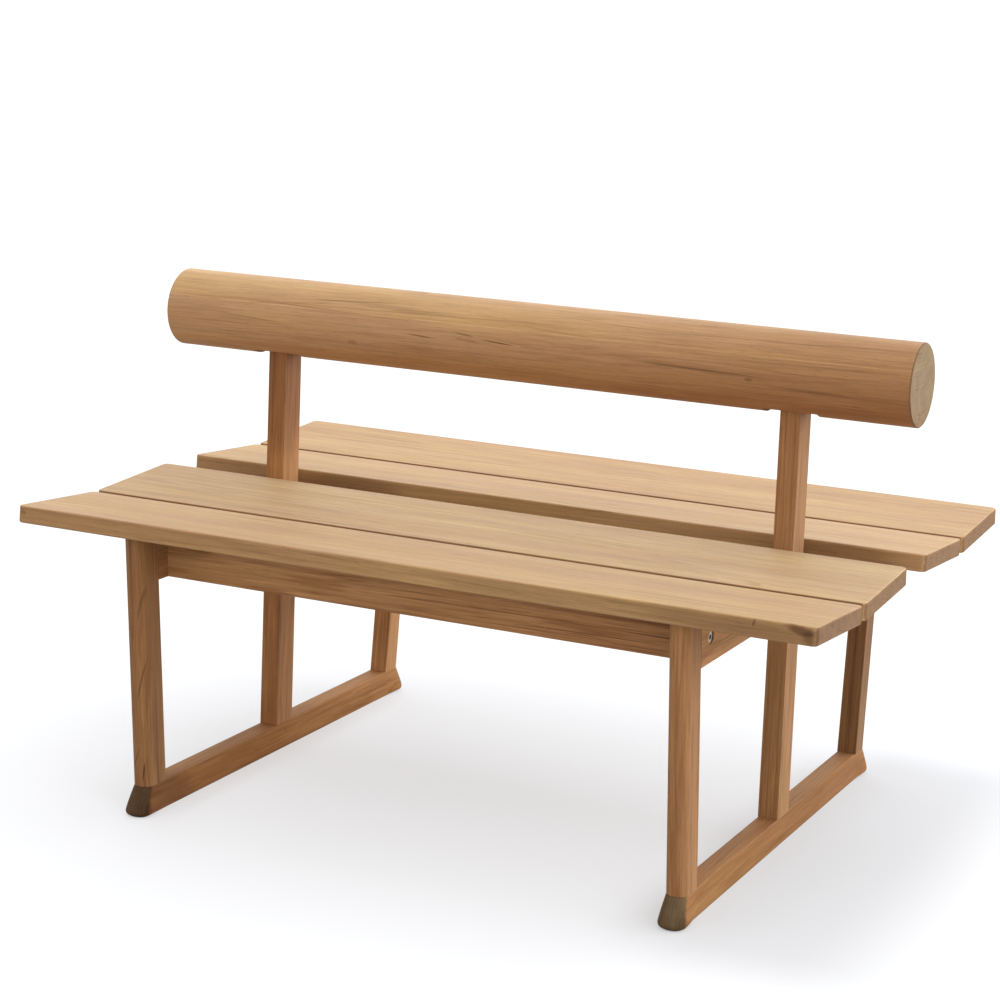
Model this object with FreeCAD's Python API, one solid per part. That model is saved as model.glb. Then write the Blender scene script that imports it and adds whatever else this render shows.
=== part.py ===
import FreeCAD, Part
import math
import os

from FreeCAD import Vector

# Two-sided garden bench in solid teak. Two flat side frames stand on sled runners. Each seat is two
# wide planks in a shallow V, and both seats share one thick round log as backrest.
# X runs along the bench, Y across it (front is -Y), Z up. Origin: centre of the footprint, on the floor.
# All sizes in millimetres.

# Planks of the seats
PLANK_LENGTH = 1200.0
PLANK_WIDTH = 187.0
PLANK_THICK = 25.0
PLANK_CORNER_R = 9.0
PLANK_EDGE_R = 2.5
SEAT_TILT_DEG = 3.6
SEAM_Y = 233.0
SEAM_GAP = 8.0
SEAM_TOP_Z = 427.0

# Backrest log
LOG_END_SETBACK = 8.0
LOG_R = 59.0
LOG_CENTRE_Z = 683.0
LOG_END_CHAMFER = 1.5
LOG_FLAT_DEPTH = 7.0
LOG_FLAT_LENGTH = 80.0

# Side frames: a plank's end overhangs the middle of a frame, and the legs stand out from the seam
SEAT_OVERHANG = 187.0
FRAME_THICK = 30.0
POST_DEPTH = 47.0
POST_EDGE_R = 1.2
LEG_DEPTH = 45.5
LEG_FOOT_OUT = 147.0
LEG_LEAN_DEG = 5.3
LEG_OUTER_R = 13.0
LEG_INNER_EDGE_R = 1.2

# Sled runners: their ends flare like hoofs, outwards and to both sides
SLED_HEIGHT = 42.0
FOOT_LENGTH = 55.0
FOOT_FLARE = 18.0
FOOT_SPREAD = 5.0
FOOT_WIDEST_Z = 9.0
FOOT_WIDEST_R = 17.0
FOOT_BOTTOM_INSET = 6.0
SLED_EDGE_R = 1.5

# Rails and battens under the seats: drops are measured from the seat's seam
RAIL_DROP = 82.0
RAIL_EDGE_R = 1.2
LONG_RAIL_SETBACK = 24.0
LONG_RAIL_THICK = 25.0
CLEAT_WIDTH = 40.0
CLEAT_DROP = 54.0
CLEAT_REACH_IN = 173.0
CLEAT_END_GAP = 0.3

# Tenons: thickness is across the frame
TENON_THICK = 12.0
TENON_SHOULDER = 8.0
SLED_TENON_LENGTH = 26.0
RAIL_TENON_LENGTH = 20.0
LOG_TENON_LENGTH = 36.0
TENON_CLEARANCE = 0.15
TENON_END_GAP = 0.5

# Frame bolts with flat heads, and their barrel nuts
BOLT_RISE = 35.0
BOLT_SETBACK = 9.5
BOLT_D = 8.0
BOLT_HEAD_D = 17.0
BOLT_HEAD_HEIGHT = 2.5
BOLT_HEAD_CHAMFER = 0.6
BOLT_SOCKET_AF = 5.0
BOLT_SOCKET_DEPTH = 5.0
BOLT_REACH = 78.0
BOLT_HOLE_CLEARANCE = 0.25
COUNTERBORE_D = 18.5
COUNTERBORE_DEPTH = 4.0
NUT_D = 12.0
NUT_LENGTH = 14.0
NUT_INSET = 16.0
NUT_CLEARANCE = 0.15

# Beech dowels that keep the long rails from turning
DOWEL_D = 8.0
DOWEL_LENGTH = 40.0
DOWEL_DROP = 20.0
DOWEL_CLEARANCE = 0.1

# Wood screws
SCREW_D = 5.0
SCREW_HEAD_D = 9.6
SCREW_HEAD_HEIGHT = 2.8
SCREW_RECESS_D = 2.4
SCREW_RECESS_DEPTH = 1.6
SCREW_BORE_D = 10.0
SCREW_CLEARANCE = 0.15
SCREW_BORE_DEPTH = 22.0
RAIL_SCREW_LENGTH = 50.0
CLEAT_SCREW_LENGTH = 40.0
SIDE_RAIL_SCREWS_FROM_SEAM = (120.0, 32.0, -32.0, -158.0)
CLEAT_SCREWS_FROM_SEAM = (58.0, 20.0, -38.0, -154.0)
LONG_RAIL_SCREW_X = (-250.0, -100.0, 100.0, 250.0)

# Values worked out from the sizes above
TILT = math.radians(SEAT_TILT_DEG)
LEAN = math.tan(math.radians(LEG_LEAN_DEG))
LOG_LENGTH = PLANK_LENGTH - 2 * LOG_END_SETBACK
FRAME_X = PLANK_LENGTH / 2 - SEAT_OVERHANG
HALF_THICK = FRAME_THICK / 2
LEG_FOOT_Y = SEAM_Y + LEG_FOOT_OUT
RAIL_BOTTOM_Z = SEAM_TOP_Z - RAIL_DROP
CLEAT_BOTTOM_Z = SEAM_TOP_Z - CLEAT_DROP
CLEAT_INNER_Y = SEAM_Y - CLEAT_REACH_IN
BOLT_Z = RAIL_BOTTOM_Z + BOLT_RISE
RAIL_SCREW_HEAD_Z = RAIL_BOTTOM_Z + SCREW_BORE_DEPTH
SIDE_RAIL_SCREW_Y = [SEAM_Y + out for out in SIDE_RAIL_SCREWS_FROM_SEAM]
CLEAT_SCREW_Y = [SEAM_Y + out for out in CLEAT_SCREWS_FROM_SEAM]
FLAT_Z = LOG_CENTRE_Z - LOG_R + LOG_FLAT_DEPTH
LEG_BLANK_TOP_Z = SEAM_TOP_Z + PLANK_WIDTH
SIDES = {"left": -1, "right": 1}
ROWS = {"front": -1, "rear": 1}


def underside_z(y):
    """Height of the planks' underside at distance y from the middle of the bench."""
    seam_edge = SEAM_TOP_Z - PLANK_THICK / math.cos(TILT)
    return seam_edge + (abs(y - SEAM_Y) - SEAM_GAP / 2) * math.tan(TILT)


def leg_outer_y(z):
    """Distance of a leg's outer face from the middle of the bench at height z."""
    return LEG_FOOT_Y + (z - SLED_HEIGHT) * LEAN


def leg_inner_y(z):
    return leg_outer_y(z) - LEG_DEPTH


def long_rail_face_y(z):
    """Outer face of a long rail. It leans as the legs do."""
    return leg_inner_y(z) - LONG_RAIL_SETBACK


def meet_underside(y, z):
    """Where a face through y and z that leans as the legs do meets the outer plank."""
    rise = math.tan(TILT)
    offset = y - z * LEAN - SEAM_Y - SEAM_GAP / 2
    seam_edge = underside_z(SEAM_Y + SEAM_GAP / 2)
    top = (seam_edge + offset * rise) / (1 - LEAN * rise)
    return (y + (top - z) * LEAN, top)


def prism(points, path):
    """Solid swept from a closed outline of points along a straight path."""
    wire = Part.makePolygon(points + [points[0]])
    return Part.Face(wire).extrude(path)


def side_prism(outline, row, x, width):
    """Solid of one outline in the Y-Z plane, width along X centred on x. Row mirrors it in Y."""
    points = [Vector(x - width / 2, row * y, z) for y, z in outline]
    return prism(points, Vector(width, 0, 0))


def box(x, y, z, size_x, size_y, size_z):
    """Box centred on x and y that stands on z."""
    corner = Vector(x - size_x / 2, y - size_y / 2, z)
    return Part.makeBox(size_x, size_y, size_z, corner)


def rounded_plan(x, y_min, y_max, z, half_width, r_min, r_max):
    """Wire of a rectangle at height z with one corner radius at each end in Y."""
    left = x - half_width
    right = x + half_width
    k = 1 - math.sqrt(0.5)
    edges = [
        Part.LineSegment(Vector(left, y_max - r_max, z), Vector(left, y_min + r_min, z)),
        Part.Arc(
            Vector(left, y_min + r_min, z),
            Vector(left + r_min * k, y_min + r_min * k, z),
            Vector(left + r_min, y_min, z),
        ),
        Part.LineSegment(Vector(left + r_min, y_min, z), Vector(right - r_min, y_min, z)),
        Part.Arc(
            Vector(right - r_min, y_min, z),
            Vector(right - r_min * k, y_min + r_min * k, z),
            Vector(right, y_min + r_min, z),
        ),
        Part.LineSegment(Vector(right, y_min + r_min, z), Vector(right, y_max - r_max, z)),
        Part.Arc(
            Vector(right, y_max - r_max, z),
            Vector(right - r_max * k, y_max - r_max * k, z),
            Vector(right - r_max, y_max, z),
        ),
        Part.LineSegment(Vector(right - r_max, y_max, z), Vector(left + r_max, y_max, z)),
        Part.Arc(
            Vector(left + r_max, y_max, z),
            Vector(left + r_max * k, y_max - r_max * k, z),
            Vector(left, y_max - r_max, z),
        ),
    ]
    return Part.Wire([edge.toShape() for edge in edges])


def runs_along(edge, direction):
    """True for a straight edge that runs along a direction."""
    if edge.Curve.TypeId != "Part::GeomLine":
        return False
    step = edge.Vertexes[-1].Point - edge.Vertexes[0].Point
    return abs(step.normalize().dot(direction)) > 0.999


def round_edges(solid, direction, radius, keep=lambda centre: True):
    """Rounds the straight edges that run along a direction and whose centre is kept."""
    edges = [e for e in solid.Edges if runs_along(e, direction) and keep(e.CenterOfMass)]
    return solid.makeFillet(radius, edges) if edges else solid


def cut_all(solid, tools):
    for tool in tools:
        solid = solid.cut(tool)
    return solid


# Screws, bolts, nuts and dowels


def wood_screw(x, y, head_z, length, grow=0.0):
    """Countersunk wood screw that points up from its head. Grow gives its hole."""
    neck_z = head_z + SCREW_HEAD_HEIGHT
    cone = Part.makeCone(
        SCREW_HEAD_D / 2 + grow, SCREW_D / 2 + grow, SCREW_HEAD_HEIGHT, Vector(x, y, head_z)
    )
    point = SCREW_D
    shank = Part.makeCylinder(
        SCREW_D / 2 + grow, length - SCREW_HEAD_HEIGHT - point, Vector(x, y, neck_z)
    )
    tip = Part.makeCone(
        SCREW_D / 2 + grow, SCREW_D / 8 + grow, point, Vector(x, y, head_z + length - point)
    )
    screw = cone.fuse([shank, tip]).removeSplitter()
    if grow:
        return screw
    return screw.cut(hexagon_prism(Vector(x, y, head_z), SCREW_RECESS_D, SCREW_RECESS_DEPTH, "up"))


def hexagon_prism(centre, across_flats, depth, way):
    """Hexagonal recess that starts on centre and runs up, or along +X or -X."""
    r = across_flats / math.sqrt(3)
    points = []
    for i in range(6):
        a = math.radians(60 * i)
        if way == "up":
            points.append(centre + Vector(r * math.cos(a), r * math.sin(a), 0))
        else:
            points.append(centre + Vector(0, r * math.cos(a), r * math.sin(a)))
    path = Vector(0, 0, depth) if way == "up" else Vector(way * depth, 0, 0)
    return prism(points, path)


def screw_bore(x, y, from_z, head_z):
    """Bore from below that sinks a screw's head into a rail."""
    return Part.makeCylinder(SCREW_BORE_D / 2, head_z - from_z, Vector(x, y, from_z))


def side_rail_screws(side, row, grow=0.0):
    return [
        wood_screw(side * FRAME_X, row * y, RAIL_SCREW_HEAD_Z, RAIL_SCREW_LENGTH, grow)
        for y in SIDE_RAIL_SCREW_Y
    ]


def long_rail_screw_y():
    """The middle of a long rail's thickness, halfway up it."""
    middle_z = (RAIL_BOTTOM_Z + underside_z(long_rail_face_y(RAIL_BOTTOM_Z))) / 2
    return long_rail_face_y(middle_z) - LONG_RAIL_THICK / 2


def long_rail_screws(row, grow=0.0):
    y = row * long_rail_screw_y()
    return [wood_screw(x, y, RAIL_SCREW_HEAD_Z, RAIL_SCREW_LENGTH, grow) for x in LONG_RAIL_SCREW_X]


def cleat_screws(row, grow=0.0):
    return [
        wood_screw(0, row * y, CLEAT_BOTTOM_Z, CLEAT_SCREW_LENGTH, grow) for y in CLEAT_SCREW_Y
    ]


def bolt_y():
    """The frame bolt runs a little way behind the long rail's outer face."""
    return long_rail_face_y(BOLT_Z) - BOLT_SETBACK


def seat_x(side):
    """The face in the bottom of the counterbore, where the bolt's head lies."""
    return side * (FRAME_X + HALF_THICK - COUNTERBORE_DEPTH)


def frame_bolt(side, row):
    """Bolt along X with a wide flat head and a hexagon socket that reaches into the shank."""
    start = Vector(seat_x(side), row * bolt_y(), BOLT_Z)
    out = Vector(side, 0, 0)
    head = Part.makeCylinder(BOLT_HEAD_D / 2, BOLT_HEAD_HEIGHT, start, out)
    rim = [e for e in head.Edges if abs(e.CenterOfMass.x - start.x) > BOLT_HEAD_HEIGHT / 2]
    rim = [e for e in rim if e.Curve.TypeId == "Part::GeomCircle"]
    head = head.makeChamfer(BOLT_HEAD_CHAMFER, rim)
    shank = Part.makeCylinder(BOLT_D / 2, BOLT_REACH, start, out * -1)
    top = start + out * BOLT_HEAD_HEIGHT
    socket = hexagon_prism(top, BOLT_SOCKET_AF, BOLT_SOCKET_DEPTH, -side)
    return head.fuse(shank).removeSplitter().cut(socket)


def bolt_hole(side, row):
    """Hole for the bolt with its counterbore. Cuts the side rail and the long rail alike."""
    y = row * bolt_y()
    out = Vector(side, 0, 0)
    seat = Vector(seat_x(side), y, BOLT_Z)
    deep = BOLT_REACH + TENON_END_GAP
    shaft = Part.makeCylinder(BOLT_D / 2 + BOLT_HOLE_CLEARANCE, deep, seat, out * -1)
    bore = Part.makeCylinder(COUNTERBORE_D / 2, COUNTERBORE_DEPTH + 1, seat, out)
    return shaft.fuse(bore)


def nut_x(side):
    return seat_x(side) - side * (BOLT_REACH - NUT_INSET)


def barrel_nut(side, row):
    """Cross nut in the long rail with its axis across the bench."""
    inner_y = bolt_y() - NUT_LENGTH / 2
    start = Vector(nut_x(side), row * inner_y, BOLT_Z)
    nut = Part.makeCylinder(NUT_D / 2, NUT_LENGTH, start, Vector(0, row, 0))
    thread = Part.makeCylinder(
        BOLT_D / 2, NUT_D, Vector(nut_x(side) - NUT_D / 2, row * bolt_y(), BOLT_Z), Vector(1, 0, 0)
    )
    return nut.cut(thread)


def nut_hole(side, row):
    """Blind hole for the barrel nut, bored from the long rail's inner face."""
    deep = NUT_LENGTH / 2 + NUT_CLEARANCE + LONG_RAIL_THICK
    start = Vector(nut_x(side), row * (bolt_y() + NUT_LENGTH / 2 + NUT_CLEARANCE), BOLT_Z)
    return Part.makeCylinder(NUT_D / 2 + NUT_CLEARANCE, deep, start, Vector(0, -row, 0))


def frame_dowel(side, row, grow=0.0):
    """Wood dowel below the bolt, half in the side rail and half in the long rail."""
    z = BOLT_Z - DOWEL_DROP
    y = long_rail_face_y(z) - LONG_RAIL_THICK / 2
    joint_x = FRAME_X - HALF_THICK
    length = DOWEL_LENGTH + 2 * grow
    start = Vector(side * joint_x - length / 2, row * y, z)
    return Part.makeCylinder(DOWEL_D / 2 + grow, length, start, Vector(1, 0, 0))


# Tenons, which also give their mortises


def tenon_box(x, y, z, size_x, size_y, size_z, grow):
    return box(x, y, z - grow, size_x + 2 * grow, size_y + 2 * grow, size_z + 2 * grow)


def post_foot_tenon(side, grow=0.0):
    deep = SLED_TENON_LENGTH + (TENON_END_GAP if grow else 0)
    size_y = POST_DEPTH - 2 * TENON_SHOULDER
    return tenon_box(
        side * FRAME_X, 0, SLED_HEIGHT - deep, TENON_THICK, size_y, deep, grow
    )


def post_top_tenon(side, grow=0.0):
    deep = LOG_TENON_LENGTH + (TENON_END_GAP if grow else 0)
    size_y = POST_DEPTH - 2 * TENON_SHOULDER
    return tenon_box(side * FRAME_X, 0, FLAT_Z, TENON_THICK, size_y, deep, grow)


def leg_foot_tenon(side, row, grow=0.0):
    """Tenon under a leg. It leans on with the leg."""
    deep = SLED_TENON_LENGTH + (TENON_END_GAP if grow else 0)
    outer = leg_outer_y(SLED_HEIGHT) - TENON_SHOULDER + grow
    inner = leg_inner_y(SLED_HEIGHT) + TENON_SHOULDER - grow
    shift = deep * LEAN
    outline = [
        (inner, SLED_HEIGHT),
        (outer, SLED_HEIGHT),
        (outer - shift, SLED_HEIGHT - deep),
        (inner - shift, SLED_HEIGHT - deep),
    ]
    return side_prism(outline, row, side * FRAME_X, TENON_THICK + 2 * grow)


def rail_tenons(side, row, grow=0.0):
    """The tenon at each end of a side rail, into the leg and into the post."""
    deep = RAIL_TENON_LENGTH + (TENON_END_GAP if grow else 0)
    low = RAIL_BOTTOM_Z + TENON_SHOULDER - grow
    width = TENON_THICK + 2 * grow
    x = side * FRAME_X
    high = underside_z(SEAM_Y) - TENON_SHOULDER + grow
    to_leg = [
        (leg_inner_y(low), low),
        (leg_inner_y(low) + deep, low),
        (leg_inner_y(high) + deep, high),
        (leg_inner_y(high), high),
    ]
    face = POST_DEPTH / 2
    to_post = [(face - deep, low), (face, low), (face, high), (face - deep, high)]
    return [side_prism(to_leg, row, x, width), side_prism(to_post, row, x, width)]


# Wooden pieces


def corner_arc(x, y, z, r, way_x, way_y):
    """Quarter of a circle from the side of a foot to its tip. The corner lies at x, y."""
    k = r * (1 - math.sqrt(0.5))
    return Part.Arc(
        Vector(x, y - way_y * r, z),
        Vector(x - way_x * k, y - way_y * k, z),
        Vector(x - way_x * r, y, z),
    )


def runner_plan(x, z, waist, half, tip, r):
    """Outline of a runner at height z: straight at its waist, spread to half at both feet."""
    root = LEG_FOOT_Y - FOOT_LENGTH
    line = lambda x_a, y_a, x_b, y_b: Part.LineSegment(Vector(x_a, y_a, z), Vector(x_b, y_b, z))
    edges = []
    for way_y in (-1, 1):
        end = way_y * tip
        for way_x in (-1, 1):
            side = x + way_x * half
            edges.append(line(x + way_x * waist, way_y * root, side, way_y * (tip - r)))
            edges.append(corner_arc(side, end, z, r, way_x, way_y))
        edges.append(line(x - half + r, end, x + half - r, end))
    for way_x in (-1, 1):
        side = x + way_x * waist
        edges.append(line(side, -root, side, root))
    return Part.Wire(Part.__sortEdges__([edge.toShape() for edge in edges]))


def sled(side):
    """Runner with hoof-like ends: they flare going down and are round in plan."""
    x = side * FRAME_X
    top = leg_outer_y(SLED_HEIGHT)
    tip = top + FOOT_FLARE
    spread = HALF_THICK + FOOT_SPREAD
    inset = FOOT_BOTTOM_INSET
    shoulder = runner_plan(x, SLED_HEIGHT, HALF_THICK, HALF_THICK, top, LEG_OUTER_R)
    widest = runner_plan(x, FOOT_WIDEST_Z, HALF_THICK, spread, tip, FOOT_WIDEST_R)
    sole = runner_plan(x, 0, HALF_THICK - SLED_EDGE_R, spread - inset, tip - inset, FOOT_WIDEST_R - inset)
    upper = Part.makeLoft([widest, shoulder], True, True)
    lower = Part.makeLoft([sole, widest], True, True)
    body = upper.fuse(lower).removeSplitter()
    top_edge = lambda c: c.z > SLED_HEIGHT - 1
    body = round_edges(body, Vector(0, 1, 0), SLED_EDGE_R, top_edge)
    mortises = [post_foot_tenon(side, TENON_CLEARANCE)]
    mortises += [leg_foot_tenon(side, row, TENON_CLEARANCE) for row in ROWS.values()]
    return cut_all(body, mortises)


def leg(side, row):
    """Leaning leg, round on its outer corners, its top cut to the underside of the outer plank."""
    x = side * FRAME_X
    outer = row * leg_outer_y(SLED_HEIGHT)
    inner = row * leg_inner_y(SLED_HEIGHT)
    r_min = LEG_OUTER_R if row < 0 else LEG_INNER_EDGE_R
    r_max = LEG_OUTER_R if row > 0 else LEG_INNER_EDGE_R
    plan = rounded_plan(
        x, min(outer, inner), max(outer, inner), SLED_HEIGHT, HALF_THICK, r_min, r_max
    )
    height = LEG_BLANK_TOP_Z - SLED_HEIGHT
    body = Part.Face(plan).extrude(Vector(0, row * height * LEAN, height))
    near = SEAM_Y + SEAM_GAP / 2
    far = leg_outer_y(LEG_BLANK_TOP_Z) + LEG_DEPTH
    above = [
        (near, underside_z(near)),
        (far, underside_z(far)),
        (far, LEG_BLANK_TOP_Z + PLANK_WIDTH),
        (near, LEG_BLANK_TOP_Z + PLANK_WIDTH),
    ]
    body = body.cut(side_prism(above, row, x, 2 * FRAME_THICK))
    body = body.fuse(leg_foot_tenon(side, row))
    return cut_all(body, [rail_tenons(side, row, TENON_CLEARANCE)[0]])


def back_post(side):
    """Upright square post from the sled to the flat on the log's underside."""
    x = side * FRAME_X
    body = box(x, 0, SLED_HEIGHT, FRAME_THICK, POST_DEPTH, FLAT_Z - SLED_HEIGHT)
    body = round_edges(body, Vector(0, 0, 1), POST_EDGE_R)
    body = body.fuse([post_foot_tenon(side), post_top_tenon(side)])
    return cut_all(body, [rail_tenons(side, row, TENON_CLEARANCE)[1] for row in ROWS.values()])


def side_rail(side, row):
    """Rail from a leg to the post. Its top follows the V of the two planks."""
    x = side * FRAME_X
    face = POST_DEPTH / 2
    leg_y = leg_inner_y(RAIL_BOTTOM_Z)
    outline = [
        (face, RAIL_BOTTOM_Z),
        (leg_y, RAIL_BOTTOM_Z),
        meet_underside(leg_y, RAIL_BOTTOM_Z),
        (SEAM_Y, underside_z(SEAM_Y)),
        (face, underside_z(face)),
    ]
    body = side_prism(outline, row, x, FRAME_THICK)
    low = lambda c: c.z < RAIL_BOTTOM_Z + 1
    body = round_edges(body, Vector(0, 1, 0), RAIL_EDGE_R, low)
    body = body.fuse(rail_tenons(side, row)).removeSplitter()
    tools = [bolt_hole(side, row), frame_dowel(side, row, DOWEL_CLEARANCE)]
    tools += side_rail_screws(side, row, SCREW_CLEARANCE)
    tools += [
        screw_bore(x, row * y, RAIL_BOTTOM_Z - 1, RAIL_SCREW_HEAD_Z) for y in SIDE_RAIL_SCREW_Y
    ]
    return cut_all(body, tools)


def long_rail(row):
    """Rail between the two side frames, parallel to the legs' lean, under the outer plank."""
    length = 2 * (FRAME_X - HALF_THICK)
    outer = long_rail_face_y(RAIL_BOTTOM_Z)
    inner = outer - LONG_RAIL_THICK
    outline = [
        (inner, RAIL_BOTTOM_Z),
        (outer, RAIL_BOTTOM_Z),
        meet_underside(outer, RAIL_BOTTOM_Z),
        meet_underside(inner, RAIL_BOTTOM_Z),
    ]
    body = side_prism(outline, row, 0, length)
    low = lambda c: c.z < RAIL_BOTTOM_Z + 1
    body = round_edges(body, Vector(1, 0, 0), RAIL_EDGE_R, low)
    tools = []
    for side in SIDES.values():
        tools += [bolt_hole(side, row), nut_hole(side, row)]
        tools.append(frame_dowel(side, row, DOWEL_CLEARANCE))
    tools += long_rail_screws(row, SCREW_CLEARANCE)
    y = row * long_rail_screw_y()
    tools += [screw_bore(x, y, RAIL_BOTTOM_Z - 1, RAIL_SCREW_HEAD_Z) for x in LONG_RAIL_SCREW_X]
    return cut_all(body, tools)


def cleat(row):
    """Cross batten under the middle of a seat. It ties the two planks to each other."""
    outer = long_rail_face_y(CLEAT_BOTTOM_Z) - LONG_RAIL_THICK - CLEAT_END_GAP
    outline = [
        (CLEAT_INNER_Y, CLEAT_BOTTOM_Z),
        (outer, CLEAT_BOTTOM_Z),
        meet_underside(outer, CLEAT_BOTTOM_Z),
        (SEAM_Y, underside_z(SEAM_Y)),
        (CLEAT_INNER_Y, underside_z(CLEAT_INNER_Y)),
    ]
    body = side_prism(outline, row, 0, CLEAT_WIDTH)
    low = lambda c: c.z < CLEAT_BOTTOM_Z + 1
    body = round_edges(body, Vector(0, 1, 0), RAIL_EDGE_R, low)
    return cut_all(body, cleat_screws(row, SCREW_CLEARANCE))


def plank(row, outer):
    """Seat plank, made flat at the origin and then tilted onto its place in the V."""
    length = PLANK_LENGTH
    body = Part.makeBox(length, PLANK_WIDTH, PLANK_THICK, Vector(-length / 2, 0, -PLANK_THICK))
    body = round_edges(body, Vector(0, 0, 1), PLANK_CORNER_R)
    rims = [e for e in body.Edges if abs(e.CenterOfMass.z + PLANK_THICK / 2) > PLANK_THICK / 4]
    body = body.makeFillet(PLANK_EDGE_R, rims)
    way = row if outer else -row
    if way < 0:
        body = body.mirror(Vector(0, 0, 0), Vector(0, 1, 0))
    body.rotate(Vector(0, 0, 0), Vector(1, 0, 0), way * SEAT_TILT_DEG)
    edge = SEAM_Y + (SEAM_GAP / 2 if outer else -SEAM_GAP / 2)
    body.translate(Vector(0, row * edge, SEAM_TOP_Z))
    holes = cleat_screws(row, SCREW_CLEARANCE) + long_rail_screws(row, SCREW_CLEARANCE)
    for side in SIDES.values():
        holes += side_rail_screws(side, row, SCREW_CLEARANCE)
    return cut_all(body, holes)


def backrest_log():
    """Round log along X with a flat cut in its underside over each post."""
    start = Vector(-LOG_LENGTH / 2, 0, LOG_CENTRE_Z)
    body = Part.makeCylinder(LOG_R, LOG_LENGTH, start, Vector(1, 0, 0))
    ends = [e for e in body.Edges if e.Curve.TypeId == "Part::GeomCircle"]
    body = body.makeChamfer(LOG_END_CHAMFER, ends)
    tools = []
    for side in SIDES.values():
        drop = FLAT_Z - LOG_R
        tools.append(box(side * FRAME_X, 0, drop, LOG_FLAT_LENGTH, 2 * LOG_R, LOG_R))
        tools.append(post_top_tenon(side, TENON_CLEARANCE))
    return cut_all(body, tools)


def pieces():
    """Every node of the bench by name."""
    made = {"backrest_log": backrest_log()}
    for side_name, side in SIDES.items():
        made[f"sled_{side_name}"] = sled(side)
        made[f"back_post_{side_name}"] = back_post(side)
        for row_name, row in ROWS.items():
            made[f"{row_name}_leg_{side_name}"] = leg(side, row)
            made[f"side_rail_{row_name}_{side_name}"] = side_rail(side, row)
    for row_name, row in ROWS.items():
        made[f"long_rail_{row_name}"] = long_rail(row)
        made[f"seat_cleat_{row_name}"] = cleat(row)
        made[f"seat_plank_{row_name}_outer"] = plank(row, True)
        made[f"seat_plank_{row_name}_inner"] = plank(row, False)
    corners = [(side, row) for side in SIDES.values() for row in ROWS.values()]
    made["frame_bolts"] = Part.makeCompound([frame_bolt(*c) for c in corners])
    made["barrel_nuts"] = Part.makeCompound([barrel_nut(*c) for c in corners])
    made["frame_dowels"] = Part.makeCompound([frame_dowel(*c) for c in corners])
    made["side_rail_screws"] = Part.makeCompound(
        [screw for c in corners for screw in side_rail_screws(*c)]
    )
    rows = list(ROWS.values())
    made["long_rail_screws"] = Part.makeCompound([s for r in rows for s in long_rail_screws(r)])
    made["cleat_screws"] = Part.makeCompound([s for r in rows for s in cleat_screws(r)])
    return made


os.makedirs("parts", exist_ok=True)
for name, shape in pieces().items():
    shape.exportStep(f"parts/{name}.step")
    print(name, "solids", len(shape.Solids), "valid", shape.isValid(), "volume", round(shape.Volume))
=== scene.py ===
import itertools
import math
import random
from collections import namedtuple

import bpy
from mathutils import Euler, Matrix, Vector


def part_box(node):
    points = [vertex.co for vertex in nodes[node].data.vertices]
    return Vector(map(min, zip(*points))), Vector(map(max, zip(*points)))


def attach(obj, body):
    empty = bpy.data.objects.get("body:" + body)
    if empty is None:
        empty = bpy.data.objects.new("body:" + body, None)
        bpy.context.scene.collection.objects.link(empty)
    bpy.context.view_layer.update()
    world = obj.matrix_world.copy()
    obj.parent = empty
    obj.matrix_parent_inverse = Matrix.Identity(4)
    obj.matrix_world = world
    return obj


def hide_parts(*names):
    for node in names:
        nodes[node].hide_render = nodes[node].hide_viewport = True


# Double-sided teak bench: four plank seats, a round log as backrest, two sled side frames.
# Metres. X runs along the bench, Y across it (the camera's side is -Y), Z up.

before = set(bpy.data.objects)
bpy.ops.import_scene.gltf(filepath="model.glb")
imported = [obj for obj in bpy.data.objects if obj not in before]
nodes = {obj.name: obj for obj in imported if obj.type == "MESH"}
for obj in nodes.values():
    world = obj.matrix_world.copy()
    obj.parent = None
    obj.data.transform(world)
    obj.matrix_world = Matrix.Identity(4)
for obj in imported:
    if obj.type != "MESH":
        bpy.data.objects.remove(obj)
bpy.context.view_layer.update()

# What repeats: the seats with their side along Y, the side frames, corners and fasteners
ROWS = {"front": -1, "rear": 1}
SIDES = ("left", "right")
CORNERS = ((-1, -1), (1, -1), (1, 1), (-1, 1))
FASTENERS = ("frame_bolts", "barrel_nuts", "side_rail_screws", "long_rail_screws", "cleat_screws")

# Camera, worked out from the bench's edges in the photograph
CAMERA_PLACE = (1.5287, -3.3043, 1.2216)
CAMERA_YAW_DEG = 25.5143
CAMERA_PITCH_DEG = 8.6043
CAMERA_ROLL_DEG = 2.2204
CAMERA_FOCAL_PX = 2515.0
CAMERA_CENTRE_Y_PX = 350.0
IMAGE_PX = 1000.0
SENSOR_MM = 36.0

# The bench's own angles and sizes
SEAT_TILT_DEG = 3.6
LEG_LEAN_DEG = 5.3
SEAM_GAP = 0.008
BOLT_HEAD_R = 0.0085

# Runners: their ends flare like hoofs, outwards and to both sides
RUNNER_HALF = 0.015
RUNNER_EDGE_R = 0.0015
FOOT_LENGTH = 0.055
FOOT_FLARE = 0.018
FOOT_WIDEST_Z = 0.009
FOOT_FLANK_RISE = 0.001
FOOT_TURN_IN_SHARE = 0.4
FOOT_SOLE_INSET = 0.006
FOOT_NOSE_LIP = 0.0006
FOOT_TOP_R = 0.013
FOOT_WIDEST_R = 0.0185
FOOT_SOLE_R = 0.0125
SHARP_ANGLE_DEG = 40.0

# Fineness of the runners' meshes: steps, shares of the waist, and the least gap between levels
SOFTEN_ROUNDS = 2
EDGE_STEPS = 3
TAPER_STEPS = 10
NOSE_STEPS = 12
WAIST_SHARES = (0.0, 0.5, 0.9)
LEVEL_GAP = 0.0002

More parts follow.
